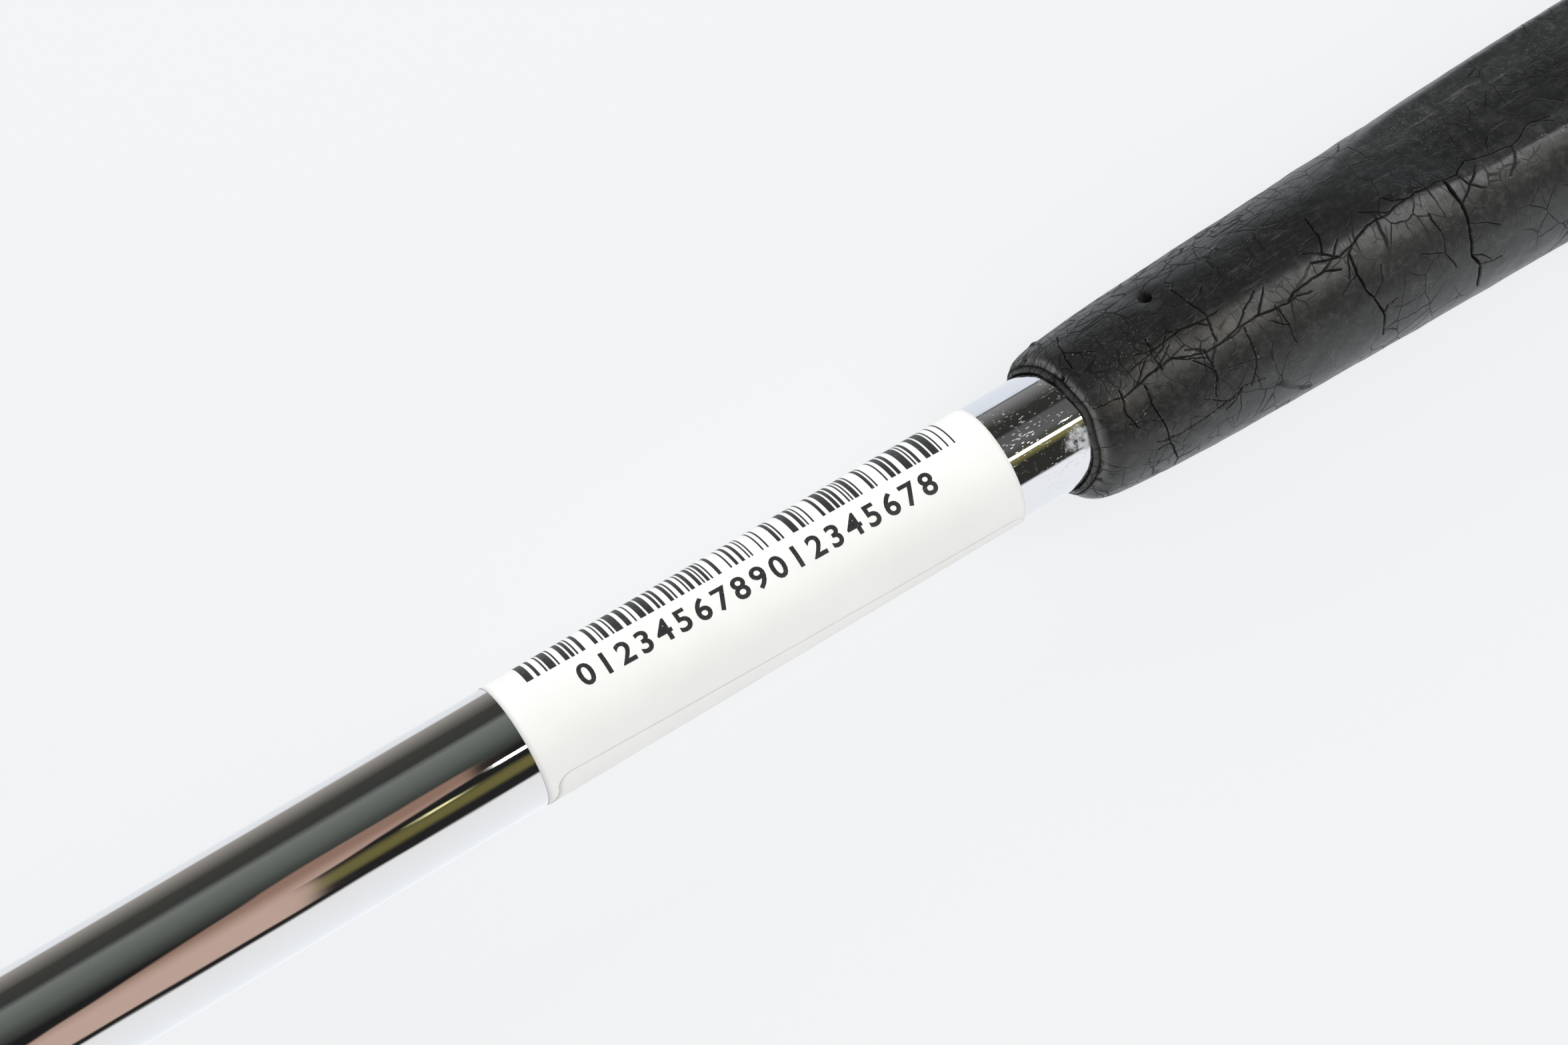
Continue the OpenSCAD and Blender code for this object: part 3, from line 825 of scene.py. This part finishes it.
PRINT_SKEW = math.radians(1.45)
PRINT_FROM = LABEL_HIGH.x                # the print reads from the far end towards the grip
PRINT_PROUD = 0.012 * MM
PRINT_BASE = math.radians(12.5) * TUBE_R + 0.4 * MM
BAR_MODULE = 0.25 * MM
BAR_LOW, BAR_HIGH = 4.4 * MM, 14.0 * MM
BARS_FROM, BARS_TO = 4.2 * MM, 65.0 * MM
BAR_SEED = 7
DIGIT_HEIGHT = 3.0 * MM
DIGIT_PITCH = 2.69 * MM
DIGITS_FROM = 10.6 * MM
DIGIT_COUNT = 19
FONT_HEIGHT = 0.73                       # how tall a digit of the built-in font is at size 1
DIGIT_SLICES = 8


def make_label():
    """A sheet wrapped round the tube, its end lapping over its start, with rounded corners."""
    across, along = 271, 90
    turn = np.linspace(SHEET_START, SHEET_END, across)
    past_corner = np.maximum(0, CORNER_R - np.radians(SHEET_END - turn) * TUBE_R)
    inset = CORNER_R - np.sqrt(np.maximum(0, CORNER_R**2 - past_corner**2))
    radius = PAPER_R + smooth(turn, 262, 276) * (PAPER_T + LAP_GAP)
    s, t = np.meshgrid(np.linspace(0, 1, along), np.arange(across), indexing="ij")
    tuck = END_TUCK * smooth(turn, 255, 300)
    x = LABEL_LOW.x + inset[t] + s * (LABEL_LEN - 2 * inset[t] - tuck[t])
    drift = np.degrees((LABEL_HIGH.x - x) * math.tan(PRINT_SKEW) / TUBE_R)
    slant = smooth(turn[t], 200, 300) * END_SLANT * (LABEL_HIGH.x - x) / LABEL_LEN
    r = radius[t] + 0.004 * MM * value_noise(s * 30, t / 9.0, 41)
    points = on_rings(x, r, np.radians(turn[t] - drift - slant))
    label = grid_piece("label", points, False, LOOKS["label_paper"], BODY["paper_label"])
    thick = label.modifiers.new("paper", "SOLIDIFY")
    thick.thickness = PAPER_T
    thick.offset = 1.0
    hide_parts("paper_label")


def on_label(s, v):
    """The point s along the print and v up from its base line, in metres, just proud of the paper."""
    x = PRINT_FROM - s * math.cos(PRINT_SKEW) - v * math.sin(PRINT_SKEW)
    arc = PRINT_BASE - s * math.sin(PRINT_SKEW) + v * math.cos(PRINT_SKEW)
    return around(x, PAPER_R + PAPER_T + PRINT_PROUD, math.degrees(arc / TUBE_R))


def make_bars():
    """A block of bars of random widths, which encodes nothing."""
    rng = np.random.default_rng(BAR_SEED)
    steps = 14
    s = BARS_FROM
    vertices, faces = [], []
    while s < BARS_TO:
        width = BAR_MODULE * rng.choice([1, 1, 1, 1, 2, 2, 3, 4]) * rng.uniform(0.8, 1.0)
        for v in np.linspace(BAR_LOW, BAR_HIGH, steps + 1):
            vertices += [on_label(s, v), on_label(s + width, v)]
        first = len(vertices) - 2 * (steps + 1)
        faces += [(i, i + 1, i + 3, i + 2) for i in range(first, first + 2 * steps, 2)]
        s += width + BAR_MODULE * rng.choice([1, 1, 1, 2, 2, 3, 5])
    data = bpy.data.meshes.new("label_bars")
    data.from_pydata([tuple(v) for v in vertices], [], faces)
    data.validate()
    data.polygons.foreach_set("use_smooth", [True] * len(data.polygons))
    add_piece("label_bars", data, INK, BODY["paper_label"])


def digit_meshes():
    """Flat meshes of the ten digits from the built-in font, bold, with their middles at x = 0."""
    made = []
    for digit in "0123456789":
        curve = bpy.data.curves.new("digit", "FONT")
        curve.body = digit
        curve.align_x = "CENTER"
        curve.resolution_u = 4
        curve.offset = 0.022
        obj = bpy.data.objects.new("digit", curve)
        bpy.context.scene.collection.objects.link(obj)
        bpy.context.view_layer.update()
        made.append(bpy.data.meshes.new_from_object(obj))
        bpy.data.objects.remove(obj)
    return made


def bent_digit(flat, start):
    """A digit's mesh laid on the label at start along the print, sliced so that it follows the curve."""
    scale = DIGIT_HEIGHT / FONT_HEIGHT
    glyph = bmesh.new()
    glyph.from_mesh(flat)
    for step in range(1, DIGIT_SLICES):
        level = FONT_HEIGHT * step / DIGIT_SLICES
        bmesh.ops.bisect_plane(glyph, geom=glyph.verts[:] + glyph.edges[:] + glyph.faces[:],
                               plane_co=(0, level, 0), plane_no=(0, 1, 0))
    for vert in glyph.verts:
        vert.co = on_label(start + vert.co.x * scale, vert.co.y * scale)
    part = bpy.data.meshes.new("part")
    glyph.to_mesh(part)
    glyph.free()
    return part


def make_digits():
    """A running row of plain digits under the bars."""
    digits = digit_meshes()
    whole = bmesh.new()
    for i in range(DIGIT_COUNT):
        part = bent_digit(digits[i % 10], DIGITS_FROM + DIGIT_PITCH * i)
        whole.from_mesh(part)
        bpy.data.meshes.remove(part)
    data = bpy.data.meshes.new("label_digits")
    whole.to_mesh(data)
    whole.free()
    for mesh in digits:
        bpy.data.meshes.remove(mesh)
    add_piece("label_digits", data, INK, BODY["paper_label"])


make_label()
make_bars()
make_digits()


# -------------------------------------------------------------- floor, lights
def linear(value):
    """Linear brightness of a 0-255 screen value."""
    value /= 255
    return value / 12.92 if value <= 0.04045 else ((value + 0.055) / 1.055) ** 2.4


def srgb(red, green, blue, gain=1.0):
    """Linear colour of 0-255 screen values, times a gain."""
    return tuple(gain * linear(v) for v in (red, green, blue))


PALE = srgb(243, 245, 247)


def make_floor():
    """A pale table top that glows, so that shadows on it stay faint."""
    half = 6.0
    corners = [(-half, -half), (half, -half), (half, half), (-half, half)]
    data = bpy.data.meshes.new("floor")
    data.from_pydata([(x, y, FLOOR_Z) for x, y in corners], [], [(0, 1, 2, 3)])
    material, g = new_material("floor")
    where, *_ = g.coords()
    tone = g.mix(g.noise(where, 3.0, 2.0), (0.10, 0.10, 0.10), (0.11, 0.11, 0.11))
    g.surface(tone, 0.95, Emission_Color=(*PALE, 1.0), Emission_Strength=0.87, Specular_IOR_Level=0.0)
    data.materials.append(material)
    floor = bpy.data.objects.new("floor", data)
    bpy.context.scene.collection.objects.link(floor)
    floor.visible_glossy = False


def area_light(name, place, aim, size, power, seen_in_gloss, color=(1, 1, 1)):
    """A soft light that faces its aim, hidden from the camera; size in metres, power in watts."""
    data = bpy.data.lights.new(name, "AREA")
    data.shape = "RECTANGLE"
    data.size, data.size_y = size
    data.energy = power
    data.color = color
    light = bpy.data.objects.new(name, data)
    bpy.context.scene.collection.objects.link(light)
    light.location = place
    light.rotation_mode = "QUATERNION"
    light.rotation_quaternion = (Vector(place) - Vector(aim)).to_track_quat("Z", "Y")
    light.visible_camera = False
    light.visible_glossy = seen_in_gloss


CHROME_TONE = 0.83      # what the chrome returns of the studio's brightness
# Screen tones round the cane, by round angle: those beside the grip, then those beyond the label.
NEAR_STOPS = [
    (-180, (225, 230, 235)), (-64, (230, 232, 235)), (-60, (45, 45, 45)), (-24, (45, 45, 40)),
    (-15, (120, 115, 70)), (-3, (65, 65, 60)), (8, (90, 90, 90)), (33, (85, 85, 85)),
    (37, (45, 45, 45)), (60, (50, 50, 45)), (94, (130, 130, 130)), (97, (70, 70, 70)),
    (101, (215, 220, 230)), (180, (220, 225, 230)),
]
FAR_STOPS = [
    (-180, (235, 240, 245)), (-64, (225, 225, 225)), (-60, (35, 35, 35)), (0, (30, 30, 30)),
    (26, (85, 90, 85)), (54, (110, 115, 110)), (65, (55, 55, 55)), (86, (60, 60, 55)),
    (127, (150, 145, 140)), (133, (220, 222, 225)), (180, (220, 225, 230)),
]


def in_chrome(red, green, blue, gain=1.0):
    """The studio's brightness for which the chrome shows these screen values."""
    return srgb(red, green, blue, gain / CHROME_TONE)


def add_ramp(g, side, stops):
    """A colour ramp over -180 to 180 degrees, in the tones that the chrome should show."""
    ramp = g.add("ShaderNodeValToRGB", Fac=g.math("MULTIPLY_ADD", side, 1 / 360, 0.5))
    elements = ramp.color_ramp.elements
    while len(elements) < len(stops):
        elements.new(0.5)
    for element, (angle, color) in zip(elements, stops):
        element.position = (angle + 180) / 360
        element.color = (*in_chrome(*color), 1.0)
    return ramp.outputs[0]


def band(g, value, low, high, soft):
    """1 where the value is from low to high, with soft edges."""
    rise = g.span(g.math("SUBTRACT", value, low), -soft, soft)
    fall = g.span(g.math("SUBTRACT", value, high), soft, -soft)
    return g.times(rise, fall)


# In the next functions, side is the round angle and along is how far a ray leans to the butt, in degrees.
def brown_wedge(g, side, along):
    """Where the brown wedge is: its top and bottom edges converge towards the label."""
    top = g.math("MINIMUM", g.math("MULTIPLY_ADD", along, 4.5, -21.2), 8.0)
    bottom = g.math("MULTIPLY_ADD", along, 3.5, -42.2)
    upper = g.times(band(g, side, bottom, top, 2.0), g.span(along, 9.8, 9.2))
    lower = g.times(band(g, side, -53.0, top, 2.5), g.span(along, 6.7, 6.1))
    return g.most(upper, lower)


def studio_color(g, direction, side, along):
    """The studio's colour: the bands round the cane, the grip's own dark, and what lies overhead."""
    color = g.mix(g.span(along, 12.0, 16.0), add_ramp(g, side, FAR_STOPS), add_ramp(g, side, NEAR_STOPS))
    over_grip = g.times(g.span(along, 20.5, 26.0, 0.0, 0.85), band(g, side, 14.0, 96.0, 6.0))
    color = g.mix(over_grip, color, in_chrome(16, 17, 17))
    olive_light = g.times(band(g, side, -42.0, -25.0, 6.0), g.span(along, 5.6, 6.6))
    color = g.mix(g.times(olive_light, g.span(along, 14.0, 12.0)), color, in_chrome(103, 97, 58))
    brown = g.mix(g.span(side, -26.0, 0.0), in_chrome(186, 160, 147), in_chrome(140, 112, 98))
    color = g.mix(brown_wedge(g, side, along), color, brown)
    glint = g.times(band(g, side, -25.0, -22.0, 1.5), band(g, along, 8.3, 9.2, 0.3))
    glint = g.times(glint, g.span(g.noise(direction, 160.0), 0.42, 0.58))
    return g.mix(glint, color, in_chrome(255, 250, 190, 1.6))


def make_world():
    """The studio that the cane reflects: dark overhead, pale at the sides, and plain to the camera."""
    world = bpy.data.worlds.new("studio")
    bpy.context.scene.world = world
    g = Graph(world)
    direction = g.add("ShaderNodeTexCoord").outputs["Generated"]
    x, y, z = g.add("ShaderNodeSeparateXYZ", i0=direction).outputs
    side = g.times(g.math("ARCTAN2", g.times(y, -1.0), z), math.degrees(1))
    uneven = g.math("SUBTRACT", g.noise(g.scaled(direction, 26, 7, 7), 1.0, 4.0), 0.5)
    side = g.math("MULTIPLY_ADD", uneven, 5.0, side)
    along = g.times(g.math("ARCSINE", g.times(x, -1.0)), math.degrees(1))
    color = studio_color(g, direction, side, along)
    seen = g.mix(g.add("ShaderNodeLightPath").outputs["Is Camera Ray"], color, PALE)
    back = g.add("ShaderNodeBackground", Color=seen, Strength=1.0)
    out = g.add("ShaderNodeOutputWorld")
    g.tree.links.new(back.outputs[0], out.inputs[0])


make_world()
make_floor()
CANE_SPOT = (0.2, 0, 0)
WARM = (1.0, 1.0, 0.94)
area_light("strip", (-0.13, 0.185, 1.15), (-0.13, 0.0, 0.0), (0.32, 0.105), 0.6, True, WARM)
area_light("long_strip", (-0.64, -0.03, 1.15), (-0.64, 0.0, 0.0), (0.64, 0.24), 5.4, True)
area_light("dome", (0.2, 0.0, 2.2), CANE_SPOT, (3.4, 3.4), 36.0, False)
area_light("back_fill", (0.2, -1.9, 0.9), CANE_SPOT, (3.0, 1.4), 38.0, False)
area_light("front_fill", (0.2, 1.9, 0.9), CANE_SPOT, (3.0, 1.4), 9.0, False)
bpy.context.scene.view_settings.view_transform = "Standard"
